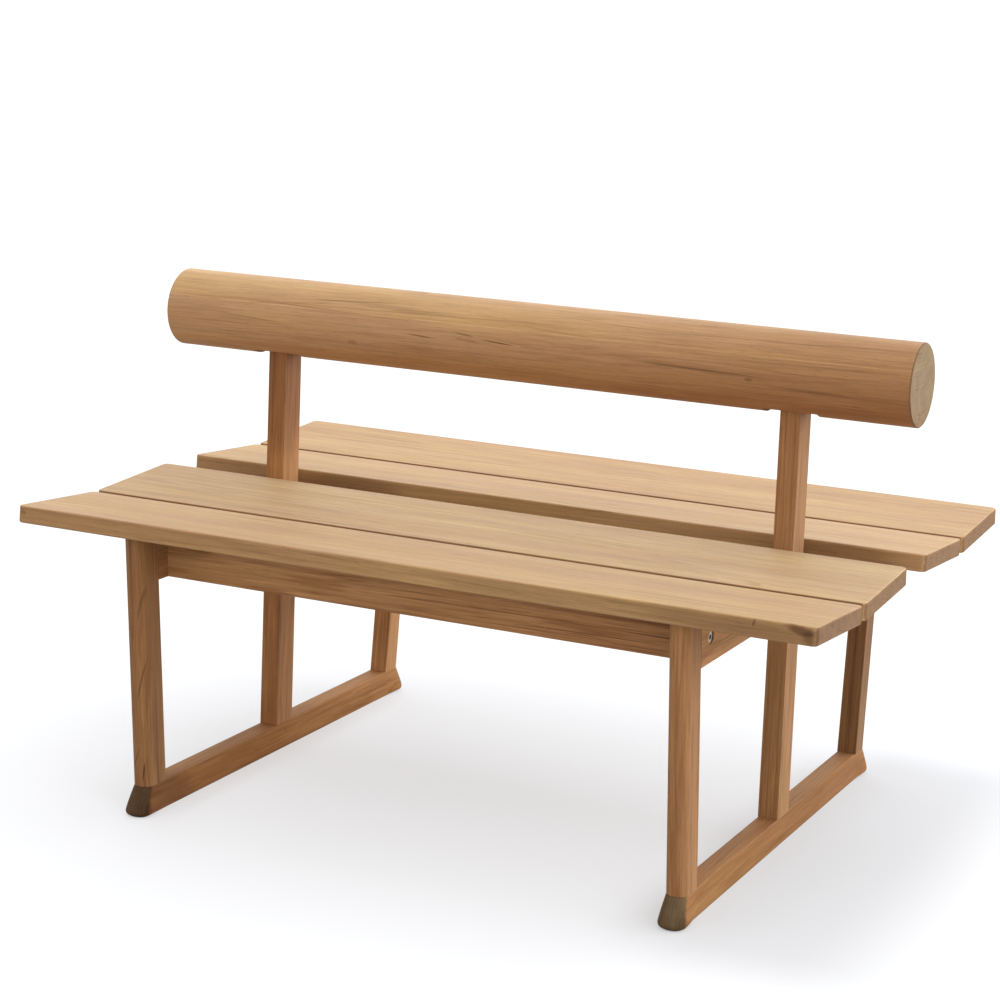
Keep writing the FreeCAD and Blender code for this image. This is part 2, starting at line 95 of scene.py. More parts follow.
# Mortises in the runners, for the tenons of the legs and the post
TENON_THICK = 0.012
TENON_SHOULDER = 0.008
TENON_CLEARANCE = 0.00015
MORTISE_DEPTH = 0.0265
MORTISE_OVERCUT = 0.002
POST_DEPTH = 0.047
LEG_DEPTH = 0.0455

# Light: the panels' places and how they fade at their edges, then how bright they are
TOP_PANEL_FROM = (0.26, 0.36, 1.0)
TOP_PANEL_EDGE_DEG = (72.0, 48.0)
LOW_PANEL_TOP_DEG = (45.0, 20.0)
LOW_PANEL_EDGE = (0.1, 0.8)
FRONT_PANEL_EDGE = (0.0, -0.5)
FRONT_PANEL_RISE_DEG = (0.0, 10.0)
FRONT_PANEL_FALL_DEG = (75.0, 55.0)
TOP_PANEL_GLOW = (1.60, 1.65, 1.64)
BACK_PANEL_GLOW = (1.30, 1.30, 1.22)
SIDE_PANEL_GLOW = (0.85, 0.825, 0.755)
FRONT_PANEL_GLOW = (0.53, 0.475, 0.42)
ROOM_GLOW = (0.12, 0.105, 0.09)

# Floor. Its painted shadow lies at the bench's right end, between these fades
FLOOR_REACH = 1000.0
FLOOR_DROP = 0.0002
FLOOR_BOUNCE = (0.43, 0.39, 0.35)
FLOOR_TONE = (0.40, 0.41, 0.45)
FLOOR_GLOW = 0.505
FLOOR_SHADE = 0.17
FLOOR_SHADE_X = ((0.30, 0.46), (0.76, 0.58))
FLOOR_SHADE_Y = ((-0.55, -0.38), (0.60, 0.40))

BLACK = (0.0, 0.0, 0.0)
WHITE = (1.0, 1.0, 1.0)

# Colours of sanded teak, as linear values
TEAK_LIGHT = (0.460, 0.262, 0.118)
TEAK_MID = (0.365, 0.178, 0.074)
TEAK_DARK = (0.160, 0.066, 0.024)
LOG_CAP = (0.345, 0.278, 0.172)
PLANK_CAP = (0.255, 0.140, 0.066)
FOOT_CAP = (0.152, 0.109, 0.063)

# Tones that the colours are multiplied by
TEAK_GOLD = (1.02, 1.03, 0.94)
TEAK_PINK = (0.98, 0.96, 1.00)
# Tone of the marks: stains, and also their painted shade and painted light
TEAK_STAIN_AND_SHADE = (0.35, 0.25, 0.20)
PALE_STREAK = (1.22, 1.26, 1.34)
DARK_STREAK = (0.74, 0.66, 0.58)
END_RING_TONE = (0.52, 0.46, 0.42)
WORN_EDGE_TONE = (1.30, 1.32, 1.38)
# Painted shade on the walls of the seam between two planks
SEAM_PAINTED_SHADE = (0.38, 0.18, 0.07)
GLUE_TONE = (1.30, 1.37, 1.45)
LOG_LEFT_TONE = (1.06, 1.08, 1.10)
LOG_RIGHT_TONE = (0.84, 0.75, 0.66)

# Finishes: each fade runs from where it starts to where it is full. A share is the mask's
# strength there, and a sway is how far noise moves the edge
MARK_EDGE = (1.0, 0.45)
MARK_SWAY = 0.7
END_SWAY = 0.35
WORN_EDGE_FADE = (0.0055, 0.0015)
WORN_EDGE_SWAY = 0.004
WORN_EDGE_SHARE = 0.22
# The seam's painted shade
SEAM_PAINTED_SHADE_FADE = (0.0070, SEAM_GAP / 2)
SEAM_PAINTED_SHADE_SHARE = 0.85
GLUE_LINE_FADE = (0.0011, 0.0004)
GLUE_STEP = 0.0002
LOG_DRIFT = (-0.35, 0.60)
LOG_DRIFT_SWAY = 0.5
LOG_RIM_FADE = (0.0022, 0.0012)
LOG_RIM_SHARE = 0.75
# The bolts' sockets, where shade is painted
BOLT_SOCKET_FADE = (0.0040, 0.0032)
BOLT_SOCKET_SHADE_SHARE = 0.97

# The log is glued up from three boards: the height of each glue plane above its middle,
# the tones above and below it, and how much its line shows
GLUE_PLANES = (
    (0.025, (1.02, 1.02, 0.98), (1.00, 0.98, 1.02), 0.60),
    (-0.034, (1.00, 1.00, 1.00), (0.97, 0.91, 0.84), 0.25),
)

# Surfaces of teak and steel
BUMP_STRENGTH = 0.55
BUMP_DEPTH = 0.00025
TEAK_IOR = 1.45
SHEEN_WEIGHT = 0.06
SHEEN_ROUGHNESS = 0.45
STEEL_BRIGHT = (0.72, 0.73, 0.74)
STEEL_DULL = (0.50, 0.50, 0.49)
STEEL_WAVES = (9000.0, 900.0, 900.0)
STEEL_BUMP_STRENGTH = 0.3
STEEL_BUMP_DEPTH = 0.00005
SOCKET_PAINTED_SHADE = (0.01, 0.01, 0.01)

# Wood of each kind of piece. Pith is the pith's distance from the piece's middle, across the grain
PLANK_WOOD = {"ring": 0.0058, "figure": 0.9, "streaks": 0.75, "tint": (0.97, 1.03, 1.08)}
PLANK_PITHS = {"outer": (-0.05, -0.13), "inner": (0.06, 0.12)}
RAIL_WOOD = {"pith": (0.04, -0.07), "ring": 0.0045, "figure": 1.2, "streaks": 2.2,
             "tint": (1.10, 1.06, 1.10)}
LEG_WOOD = {"pith": (0.05, -0.06), "ring": 0.0045, "figure": 1.1, "streaks": 1.7,
            "tint": (0.84, 0.75, 0.65)}
POST_WOOD = {"pith": (0.05, 0.05), "ring": 0.0045, "figure": 1.1, "streaks": 1.8,
             "tint": (0.84, 0.75, 0.65)}
SLED_WOOD = {"pith": (0.10, 0.012), "ring": 0.0050, "figure": 1.0, "streaks": 1.3,
             "tint": (0.78, 0.68, 0.56), "cap": FOOT_CAP, "end_from": (0.10, 0.44), "gloss": 0.15}
LOG_WOOD = {"pith": (0.01, -0.10), "ring": 0.0060, "figure": 1.0, "streaks": 0.72,
            "tint": (1.03, 1.11, 1.20), "cap": LOG_CAP, "wander_deg": 1.2}
DOWEL_WOOD = {"pith": (0.02, 0.03), "ring": 0.0030}

# Random draws: their seeds, and the stretch of one endless beam that the pieces are cut from
FIRST_SEED = 101
LOG_SEED = 77
DOWEL_SEED = 55
BEAM_STRETCH = (2.0, 60.0)

# Tint of single pieces, on top of their kind's: their own tone, and painted light where the left rear leg,
# left post and left runner are lighter, and partly painted shade where the right rear leg is darker
PIECE_TINT_AND_PAINTED_LIGHT = {
    "seat_plank_front_outer": (0.97, 1.00, 1.02),
    "seat_plank_front_inner": (1.02, 1.11, 1.20),
    "seat_plank_rear_inner": (1.05, 1.07, 1.07),
    "seat_plank_rear_outer": (1.02, 1.05, 1.06),
    "front_leg_left": (0.86, 0.86, 0.85),
    "front_leg_right": (1.07, 1.10, 1.12),
    "rear_leg_left": (1.44, 1.46, 1.48),
    "rear_leg_right": (0.70, 0.70, 0.70),
    "back_post_left": (1.20, 1.18, 1.15),
    "back_post_right": (1.01, 1.03, 1.05),
    "sled_left": (1.32, 1.34, 1.36),
    "side_rail_front_right": (1.46, 1.47, 1.40),
}

# Marks that the photograph shows: knots, lines and stains in the wood, and, where said at a piece, painted
# shade and painted light. Each is a dark ellipsoid patch: its distance from the middle of the piece's box,
# half sizes, strength and turn
Mark = namedtuple("Mark", "place size strength turn_deg", defaults=((0, 0, 0),))
MARKS = {
    "backrest_log": (
        Mark((-0.150, -0.059, 0.0020), (0.030, 0.02, 0.0014), 0.75, (0, 3.5, 0)),
        Mark((-0.025, -0.059, 0.0045), (0.034, 0.02, 0.0013), 0.90, (0, 4.5, 0)),
        Mark((-0.080, -0.059, 0.0110), (0.020, 0.02, 0.0016), 0.65, (0, 5.0, 0)),
        Mark((-0.075, -0.059, 0.0030), (0.024, 0.02, 0.0030), 0.35, (0, 3.0, 0)),
        Mark((-0.266, -0.056, -0.0190), (0.010, 0.02, 0.0045), 0.35),
        Mark((-0.270, -0.044, 0.0405), (0.090, 0.02, 0.0016), 0.45, (0, -2.5, 0)),
        Mark((-0.190, -0.046, 0.0365), (0.110, 0.02, 0.0040), 0.22, (0, 1.0, 0)),
        Mark((-0.330, -0.052, 0.0260), (0.130, 0.02, 0.0012), 0.40, (0, 1.5, 0)),
        Mark((-0.440, -0.056, 0.0020), (0.060, 0.02, 0.0012), 0.45, (0, 3.0, 0)),
        Mark((0.300, -0.059, -0.0030), (0.120, 0.02, 0.0040), 0.30, (0, 2.0, 0)),
        Mark((0.285, -0.059, -0.0020), (0.130, 0.02, 0.0011), 0.60, (0, 1.2, 0)),
        Mark((0.361, -0.058, -0.0090), (0.008, 0.02, 0.0035), 0.50),
        Mark((0.460, -0.058, -0.0170), (0.090, 0.02, 0.0030), 0.30, (0, 1.5, 0)),
    ),
    "seat_plank_front_outer": (
        Mark((0.578, -0.0950, 0.0110), (0.026, 0.012, 0.0080), 0.80, (0, 10, 0)),
        Mark((0.594, -0.0930, 0.0035), (0.016, 0.016, 0.0140), 0.50),
        Mark((0.517, -0.0940, 0.0125), (0.0024, 0.008, 0.0070), 0.65, (0, 15, 0)),
        Mark((0.480, -0.0950, 0.0065), (0.240, 0.005, 0.0200), 0.42),
        Mark((0.600, -0.0190, 0.0095), (0.004, 0.100, 0.0300), 0.16),
        Mark((0.180, -0.0950, 0.0065), (0.170, 0.005, 0.0200), 0.20),
        Mark((-0.590, -0.0950, 0.0095), (0.007, 0.010, 0.0050), 0.40, (0, 20, 0)),
        Mark((-0.300, -0.0970, 0.0015), (0.160, 0.006, 0.0030), 0.35, (0, -2, 0)),
        Mark((0.120, -0.0970, 0.0075), (0.140, 0.006, 0.0025), 0.35, (0, 2, 0)),
    ),
    "seat_plank_rear_inner": (
        # Painted shade on the plank's face towards the log, strongest beside the posts
        Mark((0.000, -0.0920, -0.0005), (0.900, 0.007, 0.0350), 0.30),
        Mark((-0.310, -0.0920, -0.0025), (0.120, 0.009, 0.0350), 0.44),
        Mark((0.480, -0.0920, -0.0025), (0.120, 0.009, 0.0350), 0.50),
    ),
    "long_rail_front": (
        # Painted shadow of the seat planks: the rail darker along its top, most near its left end
        Mark((0.000, -0.0210, 0.0320), (1.100, 0.060, 0.0300), 0.50),
        Mark((-0.370, -0.0210, 0.0180), (0.060, 0.060, 0.0400), 0.30),
    ),
    "front_leg_left": (
        Mark((0.0100, -0.0235, 0.1005), (0.0026, 0.012, 0.0340), 0.45, (0, 11, 0)),
        Mark((0.0075, -0.0105, -0.0145), (0.0016, 0.030, 0.0360), 0.70, (0, 12, 0)),
        Mark((-0.0040, -0.0005, -0.1305), (0.0013, 0.030, 0.0240), 0.70, (0, 20, 0)),
        Mark((0.0070, 0.0015, -0.1505), (0.0015, 0.030, 0.0180), 0.90, (0, 8, 0)),
        Mark((0.0145, -0.0105, -0.1475), (0.0060, 0.0020, 0.0170), 0.85, (-28, 0, 0)),
    ),
    "front_leg_right": (
        Mark((0.0005, -0.0095, -0.0145), (0.0060, 0.0140, 0.3000), 0.45, (LEG_LEAN_DEG, 0, 0)),
        Mark((0.0020, -0.0095, -0.0345), (0.0016, 0.0120, 0.1300), 0.45, (LEG_LEAN_DEG, 0, 0)),
    ),
    "back_post_left": (
        # Painted light: darker above the seat, so that with its lighter tint the post is lighter below the
        # seat
        Mark((0.000, 0.000, 0.2385), (0.060, 0.060, 0.1500), 0.52),
    ),
    "sled_left": (
        Mark((0.015, 0.004, 0.0070), (0.010, 0.0012, 0.0040), 0.95),
        Mark((0.021, -0.400, -0.0030), (0.009, 0.0300, 0.0400), 0.65),
        Mark((0.015, -0.350, -0.0010), (0.030, 0.1100, 0.0600), 0.44),
        Mark((0.000, -0.280, -0.0010), (0.090, 0.4200, 0.0900), 0.42),
    ),
    "sled_right": (
        Mark((0.020, -0.402, -0.0030), (0.010, 0.0280, 0.0400), 0.65),
        Mark((0.013, -0.398, -0.0010), (0.008, 0.0120, 0.0400), 0.40),
        # Painted shade in the joint under the leg, on top of the foot
        Mark((0.008, -0.392, 0.0200), (0.008, 0.0120, 0.0018), 0.60),
    ),
}


class Graph:
    """Short calls for building the nodes of a material, a world or a group. It starts empty."""

    def __init__(self, tree):
        self.nodes = tree.nodes
        self.links = tree.links
        self.nodes.clear()

    def put(self, socket, value):
        """Links a socket to another node's output, or sets its value."""
        if isinstance(value, bpy.types.NodeSocket):
            self.links.new(value, socket)
        elif isinstance(value, (tuple, list, Vector)) and socket.type == "RGBA":
            socket.default_value = (*value[:3], 1.0)
        else:
            socket.default_value = value

    def add(self, kind, inputs=None, **settings):
        """New node with its settings and its inputs, which are given by name or by number."""
        node = self.nodes.new(kind)
        for name, value in settings.items():
            setattr(node, name, value)
        for name, value in (inputs or {}).items():
            self.put(node.inputs[name], value)
        return node

    def show(self, shader, output="ShaderNodeOutputMaterial"):
        """Links a shader to the output."""
        self.add(output, {"Surface": shader.outputs[0]})

    def math(self, operation, a, b=0.0, c=0.0):
        return self.add("ShaderNodeMath", {0: a, 1: b, 2: c}, operation=operation).outputs[0]

    def times(self, *values):
        """Product of all values."""
        product = values[0]
        for value in values[1:]:
            product = self.math("MULTIPLY", product, value)
        return product

    def sway(self, value, amount, base):
        """Base plus a noise value's distance from its middle, times amount."""
        return self.math("MULTIPLY_ADD", self.math("SUBTRACT", value, 0.5), amount, base)

    def vector(self, operation, a, b=(0.0, 0.0, 0.0)):
        return self.add("ShaderNodeVectorMath", {0: a, 1: b}, operation=operation).outputs[0]

    def length(self, a):
        return self.add("ShaderNodeVectorMath", {0: a}, operation="LENGTH").outputs["Value"]

    def across_x(self, place):
        """Distance of a place from the X axis."""
        return self.length(self.vector("MULTIPLY", place, (0.0, 1.0, 1.0)))

    def dot(self, a, b):
        return self.add("ShaderNodeVectorMath", {0: a, 1: b}, operation="DOT_PRODUCT").outputs["Value"]

    def split(self, place):
        return self.add("ShaderNodeSeparateXYZ", {0: place}).outputs

    def far_from(self, value, middle):
        return self.math("ABSOLUTE", self.math("SUBTRACT", value, middle))

    def remap(self, value, low, high, out_low=0.0, out_high=1.0):
        """Smooth step from low to high. High may lie below low."""
        if low > high:
            low, high, out_low, out_high = high, low, out_high, out_low
        inputs = {"Value": value, "From Min": low, "From Max": high, "To Min": out_low, "To Max": out_high}
        return self.add("ShaderNodeMapRange", inputs, interpolation_type="SMOOTHSTEP").outputs[0]

    def mix(self, factor, a, b, blend="MIX"):
        """Mix of two colours. The node keeps its colour sockets behind those for other values."""
        inputs = {0: factor, 6: a, 7: b}
        return self.add("ShaderNodeMix", inputs, data_type="RGBA", blend_type=blend).outputs[2]

    def tinted(self, color, tone):
        """Colour times a tone."""
        return self.mix(1.0, color, tone, "MULTIPLY")

    def toned(self, color, mask, tone):
        """Colour that turns to itself times a tone where the mask is 1."""
        return self.mix(mask, color, self.tinted(color, tone))

    def grey(self, value):
        return self.add("ShaderNodeCombineColor", {0: value, 1: value, 2: value}).outputs[0]

    def noise(self, place, scale=1.0, detail=2.0, roughness=0.5):
        inputs = {"Vector": place, "Scale": scale, "Detail": detail, "Roughness": roughness}
        return self.add("ShaderNodeTexNoise", inputs).outputs["Fac"]

    def stretched(self, place, along, across, detail=2.0, roughness=0.5, shift=0.0):
        """Noise with its own number of waves per metre along the grain and across it."""
        inputs = {0: place, 1: (along, across, across), 2: (shift, shift, shift)}
        scaled = self.add("ShaderNodeVectorMath", inputs, operation="MULTIPLY_ADD")
        return self.noise(scaled.outputs[0], detail=detail, roughness=roughness)


# Wood

WOOD_SOCKETS = {
    "INPUT": {"Place": "Vector", "End": "Float", "Ring width": "Float", "Figure": "Float",
              "Streaks": "Float", "Light": "Color", "Mid": "Color", "Dark": "Color", "Cap": "Color"},
    "OUTPUT": {"Color": "Color", "Roughness": "Float", "Height": "Float"},
}


def late_wood(g, given):
    """1 in the dark part of each annual ring. Slow waves bend the rings, and they fade in and out."""
    place = given["Place"]
    bend = g.stretched(place, along=1.5, across=7.0)
    ripple = g.stretched(place, along=4.5, across=45.0, detail=3.0, roughness=0.55)
    radius = g.sway(bend, 0.070, g.across_x(place))
    radius = g.sway(ripple, 0.007, radius)
    turn = g.math("DIVIDE", radius, given["Ring width"])
    season = g.math("FRACT", turn)
    year = g.add("ShaderNodeCombineXYZ", {"X": g.math("FLOOR", turn)}).outputs[0]
    year = g.remap(g.noise(year, scale=0.77, detail=0.0), low=0.25, high=0.75, out_low=0.15)
    fade = g.stretched(place, along=2.8, across=30.0, shift=5.0)
    fade = g.remap(fade, low=0.38, high=0.62, out_low=0.15)
    return g.times(g.remap(season, low=0.15, high=0.92), g.remap(season, low=1.0, high=0.93),
                   year, fade, given["Figure"])


def base_tone(g, given, late):
    """Broad patches of tone and of hue, with the annual rings on them."""
    tone = g.stretched(given["Place"], along=1.4, across=14.0, detail=3.0, roughness=0.55, shift=11.0)
    tone = g.remap(tone, low=0.30, high=0.70)
    hue = g.stretched(given["Place"], along=2.4, across=22.0, shift=23.0)
    hue = g.remap(hue, low=0.32, high=0.68)
    color = g.mix(g.times(tone, 0.60), given["Light"], given["Mid"])
    color = g.tinted(color, g.mix(hue, TEAK_GOLD, TEAK_PINK))
    color = g.mix(g.times(late, 0.50), color, given["Mid"])
    return g.mix(g.times(g.remap(late, low=0.5, high=1.0), 0.32), color, given["Dark"])


def flecked(g, color, waves, amount, pale, dark):
    """Pale flecks where the waves are high and dark ones where they are low. Pale and dark each
    give the waves' height where flecks start, where they are full, and their strength."""
    for (start, full, strength), tone in ((pale, PALE_STREAK), (dark, DARK_STREAK)):
        color = g.toned(color, g.times(g.remap(waves, start, full), amount, strength), tone)
    return color


def streaked(g, given, color):
    """Flecks, threads, streaks, thin lines and short dark dashes along the grain."""
    place = given["Place"]
    amount = given["Streaks"]
    dark = given["Dark"]
    fleck = g.stretched(place, along=6.0, across=85.0, roughness=0.55, shift=53.0)
    color = flecked(g, color, fleck, amount, pale=(0.56, 0.66, 0.34), dark=(0.44, 0.33, 0.40))
    thread = g.stretched(place, along=8.0, across=230.0, roughness=0.6, shift=71.0)
    color = flecked(g, color, thread, amount, pale=(0.55, 0.66, 0.30), dark=(0.45, 0.33, 0.32))
    line = g.stretched(place, along=2.6, across=300.0, shift=61.0)
    streak = g.stretched(place, along=2.0, across=105.0, detail=3.0, roughness=0.6, shift=31.0)
    dash = g.stretched(place, along=10.0, across=270.0, detail=1.0, shift=47.0)
    where = g.stretched(place, along=3.0, across=26.0, shift=41.0)
    busy = g.remap(where, low=0.42, high=0.62, out_low=0.25)
    color = g.mix(g.times(g.remap(streak, low=0.53, high=0.72), busy, amount, 0.42), color, dark)
    color = g.mix(g.times(g.remap(streak, low=0.46, high=0.28), amount, 0.30), color, given["Light"])
    color = g.mix(g.times(g.remap(line, low=0.58, high=0.68), busy, amount, 0.38), color, dark)
    dashes = g.times(g.remap(dash, low=0.66, high=0.78), g.remap(where, low=0.52, high=0.64))
    return g.mix(g.times(dashes, amount, 0.45), color, dark)


def end_grain(g, given, late):
    """End grain is darker and duller, with its rings showing as arcs."""
    place = given["Place"]
    clouds = g.noise(place, scale=70.0)
    specks = g.noise(place, scale=900.0)
    color = g.toned(given["Cap"], g.times(late, 0.7), END_RING_TONE)
    color = g.tinted(color, g.grey(g.sway(clouds, 0.6, 1.0)))
    return g.mix(g.times(specks, 0.30), color, given["Dark"])


def wood_group():
    """Solid wood in metres: the grain runs along X and the pith lies on the X axis."""
    tree = bpy.data.node_groups.new("solid_teak", "ShaderNodeTree")
    for way, sockets in WOOD_SOCKETS.items():
        for name, kind in sockets.items():
            tree.interface.new_socket(name, in_out=way, socket_type="NodeSocket" + kind)
    g = Graph(tree)
    given = g.nodes.new("NodeGroupInput").outputs
    place = given["Place"]
    late = late_wood(g, given)
    color = streaked(g, given, base_tone(g, given, late))

    # Fibres and pores
    fibre = g.stretched(place, along=8.0, across=420.0, detail=3.0, roughness=0.6)
    fine = g.stretched(place, along=28.0, across=1300.0, roughness=0.6)
    pores = g.remap(g.stretched(place, along=55.0, across=1500.0, detail=1.0), low=0.62, high=0.74)
    shade = g.sway(fine, 0.30, g.sway(fibre, 0.56, 1.0))
    color = g.tinted(color, g.grey(shade))
    color = g.mix(g.times(pores, 0.40), color, given["Dark"])
    color = g.mix(given["End"], color, end_grain(g, given, late))

    # Roughness and relief
    rough = g.math("MULTIPLY_ADD", fibre, 0.16, 0.56)
    rough = g.math("MULTIPLY_ADD", pores, 0.12, rough)
    rough = g.math("MULTIPLY_ADD", given["End"], 0.15, rough)
    height = g.math("MULTIPLY_ADD", fibre, 0.35, g.times(fine, 0.20))
    height = g.math("MULTIPLY_ADD", pores, -0.45, height)
    height = g.math("MULTIPLY_ADD", late, 0.15, height)
    g.add("NodeGroupOutput", {"Color": color, "Roughness": rough, "Height": height})
    return tree


TEAK = wood_group()


def fresh_material(name):
    """New material and its graph, still empty."""
    material = bpy.data.materials.new(name)
    material.use_nodes = True
    return material, Graph(material.node_tree)


def multiplied(*colors):
    """Product of colours, channel by channel."""
    return tuple(math.prod(channel) for channel in zip(*colors))


def centre_of(node):
    """Middle of a node's box."""
    low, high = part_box(node)
    return (low + high) / 2


def turned(axis, lean_deg):
    """Rotation that lays a piece's grain along X. Lean is about X, before that."""
    lean = math.radians(lean_deg)
    turn = {"x": (lean, 0, 0), "y": (lean, 0, -math.pi / 2), "z": (lean, math.pi / 2, 0)}
    return Euler(turn[axis], "XYZ")


def seen_from(g, place, middle, turn_deg, size=(1.0, 1.0, 1.0)):
    """A place as measured from a middle, along axes with a turn of their own, in units of a size."""
    rotation = [math.radians(a) for a in turn_deg]
    inputs = {"Vector": place, "Location": middle, "Rotation": rotation, "Scale": size}
    return g.add("ShaderNodeMapping", inputs, vector_type="TEXTURE").outputs[0]


def mark_mask(g, place, middle, mark):
    """1 in the middle of a mark, 0 outside it. Its edge is ragged."""
    about = seen_from(g, place, middle + Vector(mark.place), mark.turn_deg, mark.size)
    ragged = g.noise(about, scale=1.6, detail=3.0, roughness=0.6)
    return g.remap(g.sway(ragged, MARK_SWAY, g.length(about)), *MARK_EDGE)


def teak(name, axis, seed, pith, ring, lean_deg=0.0, figure=1.0, streaks=1.0, tint=WHITE,
         cap=PLANK_CAP, end_from=(0.62, 0.86), wander_deg=0.8, gloss=0.5, finish=None):
    """Wood of one piece, with the marks that the photograph shows in it. Finish may change the
    colour before them: it takes the graph, the place and the colour."""
    dice = random.Random(seed)
    wander = Euler([0.0] + [math.radians(dice.uniform(-wander_deg, wander_deg)) for _ in range(2)])
    turn = (wander.to_matrix() @ turned(axis, lean_deg).to_matrix()).to_euler("XYZ")
    shift = Vector((dice.uniform(*BEAM_STRETCH), *pith)) - turn.to_matrix() @ centre_of(name)
    grain = turn.to_matrix().transposed() @ Vector((1, 0, 0))

    material, g = fresh_material("teak_" + name)
    coords = g.nodes.new("ShaderNodeTexCoord").outputs
    place = coords["Object"]
    in_wood = g.add("ShaderNodeMapping", {"Vector": place, "Rotation": turn, "Location": shift})
    facing = g.math("ABSOLUTE", g.dot(coords["Normal"], tuple(grain)))
    facing = g.sway(g.noise(place, scale=110.0, detail=3.0, roughness=0.6), END_SWAY, facing)
    # The piece's own tint, which on some pieces carries painted light and painted shade
    own = PIECE_TINT_AND_PAINTED_LIGHT.get(name, WHITE)
    wood = g.add("ShaderNodeGroup", {
        "Place": in_wood.outputs[0], "End": g.remap(facing, *end_from), "Ring width": ring,
        "Figure": figure, "Streaks": streaks, "Light": multiplied(TEAK_LIGHT, tint, own),
        "Mid": multiplied(TEAK_MID, tint, own), "Dark": multiplied(TEAK_DARK, tint, own),
        "Cap": cap}, node_tree=TEAK).outputs

    color = wood["Color"]
    if finish:
        color = finish(g, place, color)
    # Marks darken the wood: stains and streaks, and on some pieces painted shade and painted light
    for mark in MARKS.get(name, ()):
        mask = mark_mask(g, place, centre_of(name), mark)
        color = g.toned(color, g.times(mask, mark.strength), TEAK_STAIN_AND_SHADE)
    bump = g.add("ShaderNodeBump", {
        "Height": wood["Height"], "Strength": BUMP_STRENGTH, "Distance": BUMP_DEPTH})
    g.show(g.add("ShaderNodeBsdfPrincipled", {
        "Base Color": color, "Roughness": wood["Roughness"], "Normal": bump.outputs[0],
        "IOR": TEAK_IOR, "Specular IOR Level": gloss, "Sheen Weight": SHEEN_WEIGHT,
        "Sheen Roughness": SHEEN_ROUGHNESS}))
    return material


def board_size(node, tilt_deg):
    """Half sizes of a board that is tilted about X, from its box."""
    low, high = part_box(node)
    size = high - low
    c = math.cos(math.radians(tilt_deg))
    s = math.sin(math.radians(abs(tilt_deg)))
    width = (size.y * c - size.z * s) / (c * c - s * s)
    thick = (size.z * c - size.y * s) / (c * c - s * s)
    return (size.x / 2, width / 2, thick / 2)


def edge_mask(g, place, node, tilt_deg):
    """1 along the edges of a tilted board, fading out over a few millimetres."""
    about = seen_from(g, place, centre_of(node), (tilt_deg, 0, 0))
    x, y, z = g.split(g.vector("SUBTRACT", board_size(node, tilt_deg), g.vector("ABSOLUTE", about)))
    xy, yz, xz = (g.math("MAXIMUM", a, b) for a, b in ((x, y), (y, z), (x, z)))
    nearest = g.math("MINIMUM", g.math("MINIMUM", xy, yz), xz)
    return g.remap(g.sway(g.noise(place, scale=130.0), WORN_EDGE_SWAY, nearest), *WORN_EDGE_FADE)


def worn_board_with_seam_shade(node, tilt_deg, seam_y):
    """Finish of a seat plank: paler along its edges, and with painted shade inside the seam."""
    def finish(g, place, color):
        worn = edge_mask(g, place, node, tilt_deg)
        color = g.toned(color, g.times(worn, WORN_EDGE_SHARE), WORN_EDGE_TONE)
        inside = g.remap(g.far_from(g.split(place)["Y"], seam_y), *SEAM_PAINTED_SHADE_FADE)
        return g.toned(color, g.times(inside, SEAM_PAINTED_SHADE_SHARE), SEAM_PAINTED_SHADE)
    return finish


def log_finish(g, place, color):
    """Three glued boards of different tones, darker towards the right, with a dark rim at each end."""
    low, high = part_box("backrest_log")
    middle = (low + high) / 2
    about = g.vector("SUBTRACT", place, tuple(middle))
    x, y, z = g.split(about)
    for plane, upper, lower, seen in GLUE_PLANES:
        above = g.remap(z, plane - GLUE_STEP, plane + GLUE_STEP)
        color = g.tinted(color, g.mix(above, lower, upper))
        line = g.remap(g.far_from(z, plane), *GLUE_LINE_FADE)
        color = g.toned(color, g.times(line, seen), GLUE_TONE)
    drift = g.remap(g.sway(g.noise(place, scale=5.0, detail=1.0), LOG_DRIFT_SWAY, x), *LOG_DRIFT)
    color = g.tinted(color, g.mix(drift, LOG_LEFT_TONE, LOG_RIGHT_TONE))
    half_length = high.x - middle.x
    radius = high.z - middle.z
    near_end = g.remap(g.math("ABSOLUTE", x), *(half_length - inset for inset in LOG_RIM_FADE))
    near_skin = g.remap(g.across_x(about), *(radius - inset for inset in LOG_RIM_FADE))
    return g.toned(color, g.times(near_end, near_skin, LOG_RIM_SHARE), TEAK_STAIN_AND_SHADE)


def bolt_socket_shade(g, place):
    """1 inside the socket of each bolt, where its shade is painted black. The bolts mirror each other and
    lie along X.
    """
    low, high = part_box("frame_bolts")
    axis = (0.0, high.y - BOLT_HEAD_R, (low.z + high.z) / 2)
    about = g.vector("SUBTRACT", g.vector("ABSOLUTE", place), axis)
    return g.remap(g.across_x(about), *BOLT_SOCKET_FADE)


def steel(name):
    """Stainless steel with faint turning marks and a little dirt, and painted shade in the bolts' sockets.
    """
    material, g = fresh_material("steel_" + name)
    place = g.nodes.new("ShaderNodeTexCoord").outputs["Object"]
    cloud = g.noise(place, scale=350.0, detail=4.0, roughness=0.6)
    color = g.mix(g.remap(cloud, low=0.35, high=0.75), STEEL_BRIGHT, STEEL_DULL)
    if name == "frame_bolts":
        # Painted shade: each bolt's socket is black
        color = g.mix(g.times(bolt_socket_shade(g, place), BOLT_SOCKET_SHADE_SHARE), color, SOCKET_PAINTED_SHADE)
    turning = g.noise(g.vector("MULTIPLY", place, STEEL_WAVES))
    bump = g.add("ShaderNodeBump", {
        "Height": turning, "Strength": STEEL_BUMP_STRENGTH, "Distance": STEEL_BUMP_DEPTH})
    g.show(g.add("ShaderNodeBsdfPrincipled", {
        "Base Color": color, "Roughness": g.math("MULTIPLY_ADD", cloud, 0.25, 0.18),
        "Normal": bump.outputs[0], "Metallic": 1.0}))
    return material


